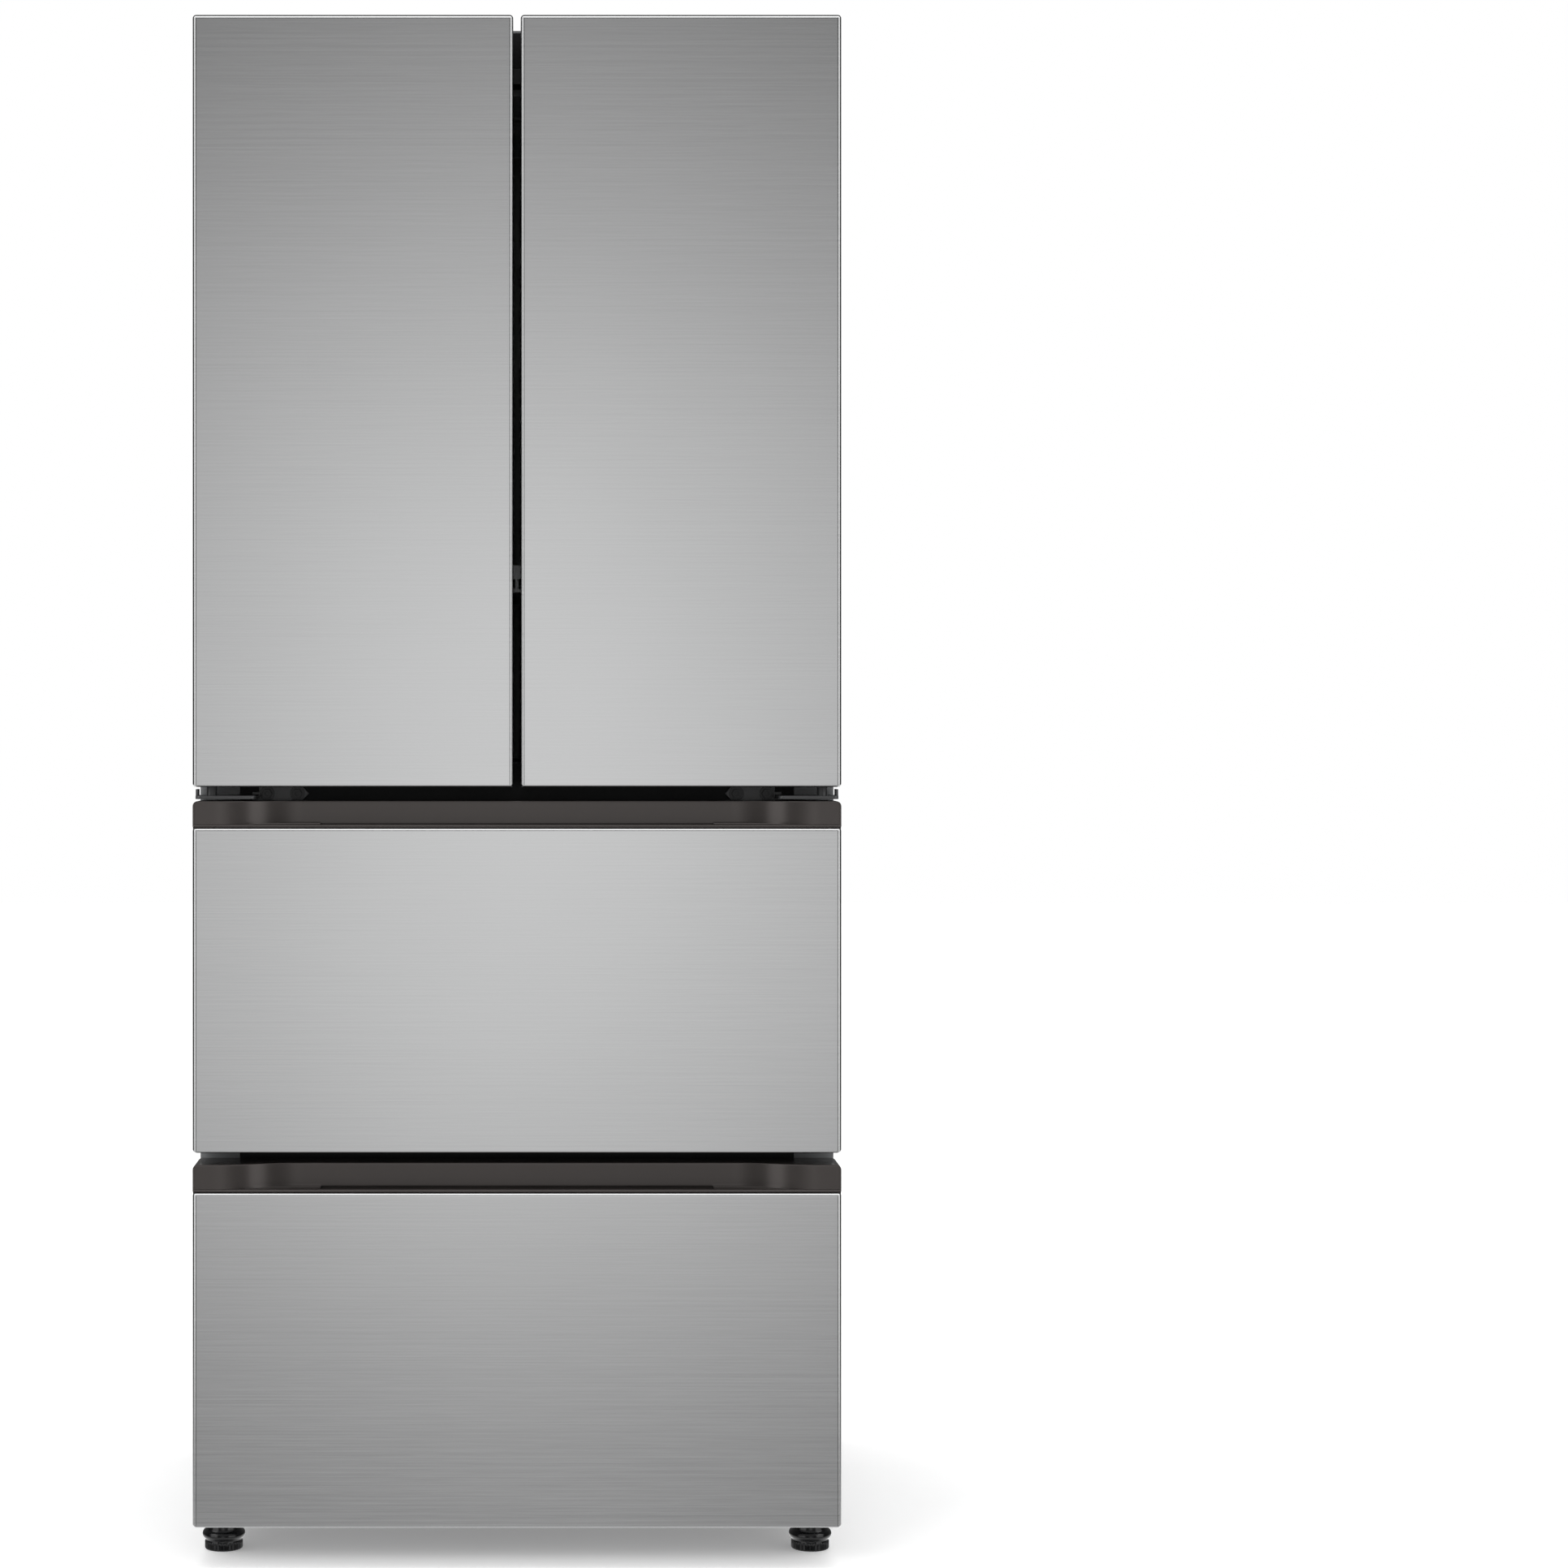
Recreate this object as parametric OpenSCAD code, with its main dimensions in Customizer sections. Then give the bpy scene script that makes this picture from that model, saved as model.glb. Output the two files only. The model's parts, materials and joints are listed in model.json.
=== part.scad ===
// French door refrigerator: two fridge doors over a middle drawer and a freezer drawer.
// +X is the refrigerator's left-to-right width seen from the front, -Y is its front,
// +Z is up. The origin is on the floor, under the centre of the whole appliance.

/* [Cabinet] */
// Width of the steel cabinet
cabinet_w = 752; // [740:2:756]
// Height of the cabinet's top sheet over the floor
cabinet_top = 1807; // [1800:1:1809]
// Distance from the door fronts to the cabinet's rear cover
overall_depth = 740; // [720:5:760]
// Thickness of the insulated side walls
wall_t = 45; // [42:1:48]
// Thickness of steel sheet
sheet_t = 1; // [0.8:0.1:1.2]
// Thickness of the plastic liners
liner_t = 2; // [1.5:0.5:2.5]

/* [Doors] */
// Width across both doors and across each drawer front
front_w = 756; // [752:2:760]
// Gap between the two doors
centre_gap = 8.7; // [8:0.1:10]
// Thickness of a door or a drawer front, without its gasket
door_t = 65; // [62:1:66]
// Height of the doors' lower edge over the floor
door_bottom = 910; // [908:1:912]
// Height of the doors' upper edge over the floor
door_top = 1810; // [1809:0.5:1811]
// Radius of the corners of the fronts
corner_r = 4; // [2:1:6]
// Distance from a door's outer edge in to its hinge pin
pin_inset = 20; // [18:1:22]
// Distance from a door's front back to its hinge pin
pin_depth = 30; // [28:1:32]
// Radius of the hinge pins
pin_r = 6; // [5:0.5:7]

/* [Drawers] */
// Height of the middle drawer front's lower edge
middle_bottom = 483.5; // [480:0.5:486]
// Height of the middle drawer front's upper edge
middle_top = 893.5; // [890:0.5:894]
// Height of the freezer drawer front's lower edge
freezer_bottom = 47; // [44:1:50]
// Height of the freezer drawer front's upper edge
freezer_top = 470; // [468:0.5:472]
// Height of the pocket handle band on the middle drawer
middle_band = 30.5; // [28:0.5:32]
// Height of the pocket handle band on the freezer drawer
freezer_band = 32; // [30:0.5:34]
// Depth of the pocket handle's scoop
scoop_depth = 20; // [18:1:24]

/* [Interior] */
// Heights of the left and right half shelves
shelf_heights = [[1330, 1545], [1290, 1500]];
// Height of the full-width shelf over the crispers
crisper_shelf_z = 1170; // [1165:1:1175]
// Thickness of the shelf glass
glass_t = 4; // [3:0.5:5]
// Wall of the bins, crispers and baskets
tub_t = 3; // [2.5:0.5:4]

/* [Base] */
// Distance of the levelling feet from the centre line
foot_x = 350; // [340:1:350]
// Radius of a foot's ribbed ring
foot_r = 22.6; // [20:0.2:24]
// Radius of a rear roller
roller_r = 16; // [14:1:18]

/* [Hidden] */
$fn = 64;

// depth positions, front to back
front_y = -overall_depth / 2;
rear_y = overall_depth / 2;
door_back_y = front_y + door_t;
cabinet_y = front_y + 76;
back_sheet_y = rear_y - 10;
rear_wall_y = back_sheet_y - 60;
freezer_rear_y = 130;
machine_y = 182;
seal_gap = 0.4;
fit = 0.05;

// half widths
half_w = cabinet_w / 2;
half_front = front_w / 2;
bay_x = half_w - wall_t;
pin_x = half_front - pin_inset;
pin_y = front_y + pin_depth;

// heights of the three compartments between the foam walls
fridge_z = [935, 1764];
middle_z = [512, 868];
freezer_z = [105, 442];
machine_top = 300;
floor_foam_z = 62;
top_rail_z = [fridge_z[1] - 2, cabinet_top - 3];

// pieces of the doors
door_z = [door_bottom, door_top];
door_x = [centre_gap / 2, half_front];
cap_y = [front_y + 11, door_back_y - 1];
bottom_cap_z = door_bottom + 36;
top_cap_z = door_top - 30;
hinge_recess = 3.6;
dyke_z = [945, 1755];
dyke_y = [door_back_y, door_back_y + 65];
dyke_outer_x = [305, 323];
dyke_inner_x = [48, 66];
bin_x = [67, 304];
bin_levels = [[964, 62, 108], [1225, 98, 85], [1480, 98, 85]];

// folding mullion, drawn folded against the left door
mullion_axis = [-27, -290];
mullion_z = [938, 1742.7];
nub_offset = [-4, 14];

// middle hinge
hinge_arm_z = [895.5, 899.5];
hinge_plate_x = [247, 306];
hinge_screw_x = [260.6, 296.4];
hinge_screw_z = 901;
hinge_foot_screw_x = [320, 340, 360];

// telescopic rails, one profile inside the next
rail_h = 45;
fixed_rail_x = [320, 329];
middle_rail_z = 640;
freezer_rail_z = 300;

// machine compartment and rear cooling
fan_at = [10, 268, 160];
evap_fan_at = [0, 268, 805];
gland_at = [-330, rear_y - 1, 255];
cover_screw_at = [345, rear_y - 3];
cover_screw_z = [70, 284];
cover_screw_r = 1.45;

// feet and rollers
foot_y = -273;
foot_stem_r = 5;
roller_x = [318, 340];
roller_y = 300;

// folded edge of a front's steel, behind its foam
hem = 14;
skin_y = [front_y, door_back_y - 2];
skin_core_y = [front_y + sheet_t, door_back_y - 3];

function span(a) = a[1] - a[0];
function grow(a, d) = [a[0] - d, a[1] + d];

module box(x, y, z) {
    translate([x[0], y[0], z[0]]) cube([span(x), span(y), span(z)]);
}

module both_sides() {
    children();
    mirror([1, 0, 0]) children();
}

// left is -1 and right is +1; children are drawn on the right side
module on_side(side) {
    if (side < 0) mirror([1, 0, 0]) children();
    else children();
}

module round_rect(x, z, r) {
    translate([x[0] + r, z[0]]) square([span(x) - 2 * r, span(z)]);
    translate([x[0], z[0] + r]) square([span(x), span(z) - 2 * r]);
    for (cx = [x[0] + r, x[1] - r], cz = [z[0] + r, z[1] - r]) translate([cx, cz]) circle(r);
}

// a slab with rounded corners as seen from the front
module slab(x, y, z, r) {
    translate([0, y[1], 0]) rotate([90, 0, 0]) linear_extrude(span(y)) round_rect(x, z, r);
}

// a tray with rounded corners as seen from above
module tray(x, y, z, r) {
    translate([0, 0, z[0]]) linear_extrude(span(z)) round_rect(x, y, r);
}

module tub(x, y, z, r, t) {
    difference() {
        tray(x, y, z, r);
        tray(grow(x, -t), grow(y, -t), [z[0] + t, z[1] + 1], r - t / 2);
    }
}

module ring(x, y, z, band) {
    difference() {
        slab(x, y, z, 8);
        slab(grow(x, -band), grow(y, 1), grow(z, -band), 3);
    }
}

module rod_x(x, r) {
    translate([x[0], 0, 0]) rotate([0, 90, 0]) cylinder(h = span(x), r = r);
}

module rod_y(y, r) {
    translate([0, y[0], 0]) rotate([-90, 0, 0]) cylinder(h = span(y), r = r);
}

// ---------- cabinet ----------

module cabinet_shell() {
    color("#8f9194") difference() {
        box([-half_w, half_w], [cabinet_y, back_sheet_y], [45, cabinet_top]);
        box(
            [-half_w + sheet_t, half_w - sheet_t],
            [cabinet_y + sheet_t, back_sheet_y + 1],
            [44, cabinet_top - sheet_t]
        );
        box([2 - bay_x, bay_x - 2], [cabinet_y - 1, cabinet_y + 2], [44, top_rail_z[1]]);
    }
}

module back_panel() {
    color("#a9abad") difference() {
        box([1 - half_w, half_w - 1], [back_sheet_y, back_sheet_y + sheet_t], [machine_top, cabinet_top]);
        for (z = [420:180:1680]) {
            box([-240, 240], [back_sheet_y + 0.5, back_sheet_y + 2], [z, z + 60]);
        }
    }
}

// the foam is poured as blocks, with a hairline between them
module insulation_foam() {
    hair = 0.2;
    inner_x = [hair - bay_x, bay_x - hair];
    foam_x = [bay_x, half_w - sheet_t];
    front = cabinet_y + sheet_t + hair;
    back = back_sheet_y - hair;
    color("#e9d9a8") {
        both_sides() {
            box(foam_x, [front, back], [machine_top, cabinet_top - sheet_t]);
            box(foam_x, [front, machine_y - hair], [floor_foam_z, machine_top - hair]);
        }
        box(inner_x, [front, back], [fridge_z[1], cabinet_top - sheet_t]);
        box(inner_x, [rear_wall_y, back], [machine_top, fridge_z[1] - hair]);
        box(inner_x, [front, rear_wall_y - hair], [middle_z[1], fridge_z[0]]);
        box(inner_x, [front, rear_wall_y - hair], [freezer_z[1], middle_z[0]]);
        box(inner_x, [freezer_rear_y + 2, rear_wall_y - hair], [machine_top, freezer_z[1] - hair]);
        box(inner_x, [front, machine_y - hair], [floor_foam_z, freezer_z[0]]);
        box(inner_x, [freezer_rear_y + 2, machine_y - hair], [freezer_z[0] + hair, machine_top - hair]);
    }
}

module compartment(z, rear) {
    difference() {
        box([-bay_x, bay_x], [cabinet_y + sheet_t, rear], z);
        box([liner_t - bay_x, bay_x - liner_t], [cabinet_y, rear - liner_t], grow(z, -liner_t));
    }
}

module fridge_liner() {
    rib_x = [bay_x - liner_t - 12, bay_x - liner_t + 0.5];
    color("#f1f2f2") {
        compartment(fridge_z, rear_wall_y);
        both_sides() box([bay_x - 9.5, rib_x[1]], [-130, 244], [crisper_shelf_z - 26, crisper_shelf_z - 20]);
        for (side = [0, 1]) on_side(2 * side - 1) {
            for (z = concat(shelf_heights[side], [crisper_shelf_z])) {
                box(rib_x, [-138, 250], [z - 8, z - 1]);
            }
        }
    }
}

module drawer_liners() {
    color("#f1f2f2") {
        compartment(middle_z, rear_wall_y);
        compartment(freezer_z, freezer_rear_y + 2);
    }
}

module front_rails() {
    rail_x = [2 - bay_x, bay_x - 2];
    y = [cabinet_y, cabinet_y + sheet_t];
    color("#141516") {
        box(rail_x, y, [middle_z[1] - 2, fridge_z[0] + 2]);
        box(rail_x, y, [freezer_z[1] - 2, middle_z[0] + 2]);
        box(rail_x, y, [floor_foam_z, freezer_z[0] + 2]);
        box(rail_x, y, top_rail_z);
    }
}

module base_frame() {
    rail = half_w - sheet_t;
    deck_z = [45, 48];
    cheek_y = [roller_y - 14, roller_y + 14];
    color("#3a3c3e") {
        difference() {
            union() {
                box([-rail, rail], [cabinet_y + sheet_t, cabinet_y + 32], [36, floor_foam_z - 0.5]);
                both_sides() box([rail - 24, rail], [cabinet_y + 32, machine_y], [40, floor_foam_z - 0.5]);
                box([-rail, rail], [cabinet_y + 31, machine_y], [floor_foam_z - 1.5, floor_foam_z - 0.5]);
            }
            both_sides() translate([foot_x, foot_y, 30]) cylinder(h = 40, r = foot_stem_r + fit);
        }
        box([-rail, rail], [machine_y, back_sheet_y], deck_z);
        both_sides() {
            box([rail - 4, rail], [machine_y, back_sheet_y], [deck_z[1], machine_top - 1]);
            for (z = cover_screw_z) difference() {
                box([335, rail], [back_sheet_y - 3, back_sheet_y], [z - 11, z + 11]);
                translate([cover_screw_at[0], 0, z])
                    rod_y([back_sheet_y - 4, back_sheet_y + 1], cover_screw_r + fit);
            }
            for (x = [roller_x[0] - 5, roller_x[1] + 2]) {
                difference() {
                    box([x, x + 3], cheek_y, [8, deck_z[0]]);
                    translate([0, roller_y, roller_r]) rod_x([x - 1, x + 4], 3);
                }
            }
            translate([0, roller_y, roller_r]) rod_x([roller_x[0] - 7, roller_x[1] + 7], 4);
        }
    }
}

module at_cover_screws() {
    both_sides() for (z = cover_screw_z) translate([cover_screw_at[0], 0, z]) children();
}

module machine_cover() {
    cover_x = [12 - half_w, half_w - 12];
    color("#4a4c4e") difference() {
        union() {
            difference() {
                slab(cover_x, [back_sheet_y, rear_y], [52, machine_top - 2], 10);
                slab(grow(cover_x, -3), [back_sheet_y - 1, rear_y - 2], [55, machine_top - 5], 7);
            }
            at_cover_screws() rod_y([back_sheet_y, rear_y - 1], 7);
        }
        at_cover_screws() rod_y([cover_screw_at[1], rear_y + 1], 4.8);
        at_cover_screws() rod_y([back_sheet_y - 1, rear_y], cover_screw_r + fit);
        for (side = [-1, 1], row = [0:8]) {
            z = 90 + 20 * row;
            box([side * 165 - 95, side * 165 + 95], [rear_y - 3, rear_y + 1], [z, z + 7]);
        }
        translate(gland_at) rod_y([-20, 20], 9);
    }
}

module compressor() {
    color("#1f2021") translate([-205, 268, 48]) {
        rotate_extrude() polygon([
            [0, 14], [58, 14], [72, 26], [76, 44], [76, 84], [81, 86], [81, 92], [76, 94],
            [76, 128], [70, 150], [54, 166], [30, 174], [0, 176],
        ]);
        for (x = [-62, 62], y = [-50, 50]) translate([x, y, 0]) cylinder(h = 16, r = 11);
        box([-70, 70], [-60, 60], [16, 19]);
    }
}

module condenser() {
    block_y = [205, 335];
    color("#57595b") {
        for (x = [90:9:297]) box([x, x + 1], block_y, [72, 242]);
        for (z = [85:24:229], y = [220:25:320]) translate([0, y, z]) rod_x([84, 304], 3.5);
    }
}

module fan(hub_r, tip_r, width, blades) {
    rotate([0, 90, 0]) difference() {
        union() {
            translate([0, 0, -width / 2]) cylinder(h = width, r = hub_r);
            for (k = [1:blades]) rotate([0, 0, k * 360 / blades]) intersection() {
                translate([hub_r - 3, 0, 0]) rotate([32, 0, 0]) translate([0, -tip_r * 0.34, -0.8])
                    cube([tip_r - hub_r + 3, tip_r * 0.68, 1.6]);
                translate([0, 0, -width]) cylinder(h = 2 * width, r = tip_r);
            }
        }
        translate([0, 0, -2 * width]) cylinder(h = 4 * width, r = 3 + fit);
    }
}

module condenser_fan() {
    color("#2c2d2e") translate(fan_at) fan(20, 66, 18, 5);
}

module condenser_fan_bracket() {
    color("#6b6d6f") translate(fan_at) {
        rod_x([-46, -16], 26);
        rod_x([-50, 14], 3);
        difference() {
            box([-52, -48], [-76, 76], [-112, 86]);
            rod_x([-60, -40], 40);
        }
        for (a = [0:90:270]) rotate([a, 0, 0]) box([-50, -46], [-3, 3], [24, 44]);
        difference() {
            box([20, 24], [-76, 76], [-112, 86]);
            rod_x([10, 30], 70);
        }
        for (y = [-76, 76]) box([-52, 24], [y - 2, y + 2], [-112, -106]);
    }
}

module drain_pan() {
    color("#202122") tub([78, 310], [192, 350], [49, 70], 12, 3);
}

module evaporator() {
    color("#b9bcbf") {
        for (x = [-230:10:230]) box([x, x + 1], [250, 285], [540, 740]);
        for (z = [555:30:735], y = [259, 276]) translate([0, y, z]) rod_x([-240, 240], 4);
    }
}

module evaporator_fan() {
    color("#d9dadb") translate(evap_fan_at) rotate([0, 0, 90]) fan(16, 46, 14, 7);
}

module air_duct_panels() {
    color("#e6e7e8") {
        difference() {
            tray([-115, 115], [266, rear_wall_y - liner_t], [962, 1735], 12);
            both_sides() box([14, 104], [284, rear_wall_y - liner_t + 1], [970, 1727]);
            for (z = [1210, 1420, 1620], side = [-1, 1], row = [0:3]) {
                box([side * 60 - 30, side * 60 + 30], [260, 290], [z + 12 * row, z + 12 * row + 5]);
            }
        }
        difference() {
            box([3 - bay_x, bay_x - 3], [232, 236], [middle_z[0] + 3, middle_z[1] - 3]);
            for (x = [-200:50:200]) box([x - 18, x + 18], [230, 238], [560, 566]);
            translate([0, 0, evap_fan_at[2]]) rod_y([230, 238], 40);
        }
        translate([0, 0, evap_fan_at[2]]) {
            rod_y([280, rear_wall_y - liner_t], 20);
            rod_y([256, 280], 3);
        }
    }
}

// ---------- hinges, guide, inlet ----------

module hinge_foot(y, z) {
    box([306, half_w - 4], y, z);
}

module top_hinges() {
    z = [cabinet_top, cabinet_top + 2.5];
    color("#c9cbcd") both_sides() {
        difference() {
            union() {
                hinge_foot([cabinet_y + 4, cabinet_y + 70], z);
                box([pin_x - 9, pin_x + 9], [pin_y, cabinet_y + 4], z);
                translate([pin_x, pin_y, z[0]]) cylinder(h = span(z), r = 9);
            }
            for (x = hinge_foot_screw_x) translate([x, -245, 1800]) cylinder(h = 20, r = 3);
        }
        translate([pin_x, pin_y, top_cap_z + 6]) cylinder(h = cabinet_top - top_cap_z - 6, r = pin_r);
    }
}

module hinge_covers() {
    cover_x = [298, half_w];
    top = cabinet_top + 9;
    color("#54575a") both_sides() difference() {
        translate([cover_x[0], 0, 0]) rotate([90, 0, 90]) linear_extrude(span(cover_x)) polygon([
            [front_y + 18, top - 5], [front_y + 18, top - 3.6], [front_y + 54, top],
            [-214, top], [-208, top - 3], [-206, cabinet_top], [cabinet_y + 1, cabinet_top],
            [cabinet_y + 1, top - 5],
        ]);
        box([cover_x[0] + 2, cover_x[1] - 2], [cabinet_y + 3, -212], [cabinet_top - 1, top - 2.5]);
        box([pin_x - 11, pin_x + 11], [cabinet_y - 1, cabinet_y + 5], [cabinet_top - 1, top - 5]);
    }
}

module middle_hinges() {
    plate_y = [cabinet_y - 3, cabinet_y];
    point = 10;
    color("#2a2b2c") both_sides() {
        difference() {
            union() {
                box([hinge_plate_x[0] + point, hinge_plate_x[1]], plate_y, [891, 912]);
                box([hinge_plate_x[1] - 1, hinge_plate_x[1] + 8], plate_y, [893, 903]);
                translate([0, plate_y[1], 0]) rotate([90, 0, 0]) linear_extrude(3) polygon([
                    [hinge_plate_x[0] + point, 891], [hinge_plate_x[0] + point, 912],
                    [hinge_plate_x[0], hinge_screw_z],
                ]);
            }
            for (x = hinge_screw_x) translate([x, 0, hinge_screw_z]) rod_y([-300, -290], 3);
        }
        tray([hinge_plate_x[1], half_w + 0.5], [pin_y - 14, cabinet_y], hinge_arm_z, 6);
        box([half_w - 2, half_w + 0.5], [pin_y - 6, pin_y + 16], [hinge_arm_z[1], 907]);
        translate([pin_x, pin_y, hinge_arm_z[1]]) cylinder(h = 28, r = pin_r);
    }
}

module flange_screw(length) {
    difference() {
        union() {
            cylinder(h = 1.6, r = 8.6);
            cylinder(h = 6, r = 6, $fn = 6);
            translate([0, 0, -length]) cylinder(h = length, r = 2.9);
        }
        translate([0, 0, 4]) cylinder(h = 3, r = 2.6, $fn = 6);
    }
}

module fasteners() {
    color("#161617") {
        both_sides() {
            for (x = hinge_screw_x) {
                translate([x, cabinet_y - 3, hinge_screw_z]) rotate([90, 0, 0]) flange_screw(2.8);
            }
            for (x = hinge_foot_screw_x) {
                translate([x, -245, cabinet_top + 2.5]) scale(0.62) flange_screw(3.8);
            }
        }
        at_cover_screws() translate([0, cover_screw_at[1], 0]) rotate([-90, 0, 0]) {
            scale(0.5) flange_screw(20);
        }
    }
}

module mullion_guide() {
    color("#1b1c1d") difference() {
        box([-42, 30], [cabinet_y, cabinet_y + 34], [mullion_z[1] + 0.9, fridge_z[1] - liner_t]);
        box([-38, -8], [cabinet_y - 1, cabinet_y + 27], [mullion_z[1], mullion_z[1] + 14]);
    }
}

module cord_gland() {
    color("#111111") translate(gland_at) difference() {
        union() {
            rod_y([-6, 1], 8.9);
            rod_y([-3, -1.2], 13);
        }
        rod_y([-7, 2], 4.6);
    }
}

// ---------- shelves and controls ----------

module each_shelf() {
    for (side = [0, 1], z = shelf_heights[side]) on_side(2 * side - 1) {
        $shelf_x = [5, bay_x - 8];
        $shelf_y = [-196, 256];
        translate([0, 0, z]) children();
    }
    $shelf_x = [8 - bay_x, bay_x - 8];
    $shelf_y = [-155, 256];
    translate([0, 0, crisper_shelf_z]) children();
}

module shelf_glass() {
    color([0.75, 0.85, 0.85, 0.4]) each_shelf() box(
        grow($shelf_x, -3), [$shelf_y[0] + 5, $shelf_y[1] - 5], [2, 2 + glass_t]
    );
}

module shelf_trims() {
    color("#dfe2e4") {
        each_shelf() difference() {
            union() {
                tray($shelf_x, [$shelf_y[0], $shelf_y[0] + 16], [-8, glass_t + 5], 3);
                box($shelf_x, [$shelf_y[1] - 14, $shelf_y[1]], [0, glass_t + 8]);
                for (x = [[$shelf_x[0], $shelf_x[0] + 9], [$shelf_x[1] - 9, $shelf_x[1]]]) {
                    box(x, [$shelf_y[0] + 12, $shelf_y[1] - 12], [0, glass_t + 3]);
                }
            }
            box(grow($shelf_x, -3), [$shelf_y[0] + 5, $shelf_y[1] - 5], [2, 2 + glass_t]);
        }
        box([-2, 2], [-150, 250], [crisper_shelf_z - 24, crisper_shelf_z]);
        box([-7, 7], [-150, 250], [crisper_shelf_z - 24, crisper_shelf_z - 20]);
    }
}

module control_panel() {
    color("#c8cacc") difference() {
        tray([-160, 160], [-228, -60], [1742, fridge_z[1] - liner_t], 14);
        tray([-120, 120], [-150, -80], [1741, 1745], 8);
    }
}

// ---------- telescopic rails ----------

module channel(x, y, z, lip) {
    box([x[1] - 3, x[1]], y, z);
    for (lz = [z[0], z[1] - 3]) box([x[1] - 3 - lip, x[1]], y, [lz, lz + 3]);
}

module fixed_rails() {
    color("#a4a7aa") both_sides() {
        channel(fixed_rail_x, [-285, 195], [middle_rail_z, middle_rail_z + rail_h], 6);
        channel(fixed_rail_x, [-285, 110], [freezer_rail_z, freezer_rail_z + rail_h], 6);
    }
}

module rail_members(z, rear) {
    color("#b6b9bb") both_sides() {
        box([321, 325.4], [-280, rear], [z + 4, z + rail_h - 4]);
    }
}

module inner_rails(z, rear) {
    color("#c4c6c8") both_sides() {
        box([315, 320.2], [door_back_y, rear], [z + 8, z + rail_h - 8]);
        box([307, 316], [door_back_y, rear - 20], [z + 14, z + 18]);
    }
}

// ---------- doors ----------

module door_skin(side) {
    top_notch = [door_top - hinge_recess, door_top + 1];
    color("#c4c5c7") on_side(side) difference() {
        slab(door_x, skin_y, door_z, corner_r);
        slab(grow(door_x, -sheet_t), skin_core_y, grow(door_z, -sheet_t), corner_r - 1);
        box(grow(door_x, -hem), [front_y + sheet_t, door_back_y], grow(door_z, -sheet_t));
        box(grow(door_x, -sheet_t), [cap_y[0], door_back_y], [door_bottom - 1, bottom_cap_z + 1]);
        box(grow(door_x, -sheet_t), [cap_y[0], door_back_y], [top_cap_z - 1, door_top + 1]);
        box([pin_x - 16, half_front + 1], [cap_y[0], door_back_y], top_notch);
    }
}

module door_foam(side) {
    color("#e9d9a8") on_side(side) box(
        grow(door_x, -1.2), [front_y + 1.2, door_back_y - 3.2], [bottom_cap_z, top_cap_z]
    );
}

module door_caps(side) {
    cap_x = grow(door_x, -1.2);
    color("#55585b") on_side(side) {
        difference() {
            box(cap_x, cap_y, [door_bottom, bottom_cap_z]);
            translate([pin_x, pin_y, door_bottom - 1]) cylinder(h = 22, r = pin_r + fit);
            tray([16, 250], [front_y + 20, front_y + 46], [door_bottom - 1, door_bottom + 26], 8);
        }
        difference() {
            box(cap_x, cap_y, [top_cap_z, door_top]);
            translate([pin_x, pin_y, top_cap_z + 4]) cylinder(h = 40, r = pin_r + fit);
            box([pin_x - 16, half_front], grow(cap_y, 1), [door_top - hinge_recess, door_top + 1]);
        }
    }
}

module door_liner(side) {
    plate_y = [door_back_y - 1, door_back_y];
    color("#f1f2f2") {
        on_side(side) {
            slab([8, half_front - 4], plate_y, [door_bottom + 3, door_top - 5], 6);
            difference() {
                slab([dyke_inner_x[0], dyke_outer_x[1]], dyke_y, dyke_z, 10);
                slab([dyke_inner_x[1], dyke_outer_x[0]], grow(dyke_y, 1), grow(dyke_z, -15), 6);
            }
        }
        // the knuckles that carry the folding mullion
        if (side < 0) for (z = [[955, 967], [1712, 1724]]) difference() {
            union() {
                box([mullion_axis[0] - 5, mullion_axis[0] + 5], [door_back_y + fit, mullion_axis[1]], z);
                translate([mullion_axis[0], mullion_axis[1], z[0]]) cylinder(h = span(z), r = 5);
            }
            translate([mullion_axis[0], mullion_axis[1], z[0] - 1]) cylinder(h = 14, r = 2.5 + fit);
        }
    }
}

module door_gasket(side) {
    color("#8b8e90") on_side(side) ring(
        [6, 354], [door_back_y, cabinet_y - seal_gap], [door_bottom + 4, 1786], 16
    );
}

module door_bins(side) {
    color([0.93, 0.95, 0.96, 0.75]) on_side(side) for (level = bin_levels) {
        y = [door_back_y + 0.5, door_back_y + level[1]];
        tub(bin_x, y, [level[0], level[0] + level[2]], 8, tub_t);
    }
}

module flip_mullion() {
    bar_x = [mullion_axis[0] - 12, mullion_axis[0] + 4];
    bar_y = [cabinet_y, cabinet_y + 60];
    pocket_x = [mullion_axis[0] - 6, mullion_axis[0] + 6];
    color("#232425") {
        difference() {
            box(bar_x, bar_y, mullion_z);
            for (z = [[954, 968], [1711, 1725]]) box(pocket_x, [cabinet_y - 1, mullion_axis[1] + 6], z);
        }
        for (z = [[952, 970], [1709, 1727]]) {
            translate([mullion_axis[0], mullion_axis[1], z[0]]) cylinder(h = span(z), r = 2.5);
        }
        translate([mullion_axis[0] + nub_offset[0], mullion_axis[1] + nub_offset[1], mullion_z[1]]) {
            cylinder(h = 9, r = 3);
        }
    }
}

// ---------- drawers ----------

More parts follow.
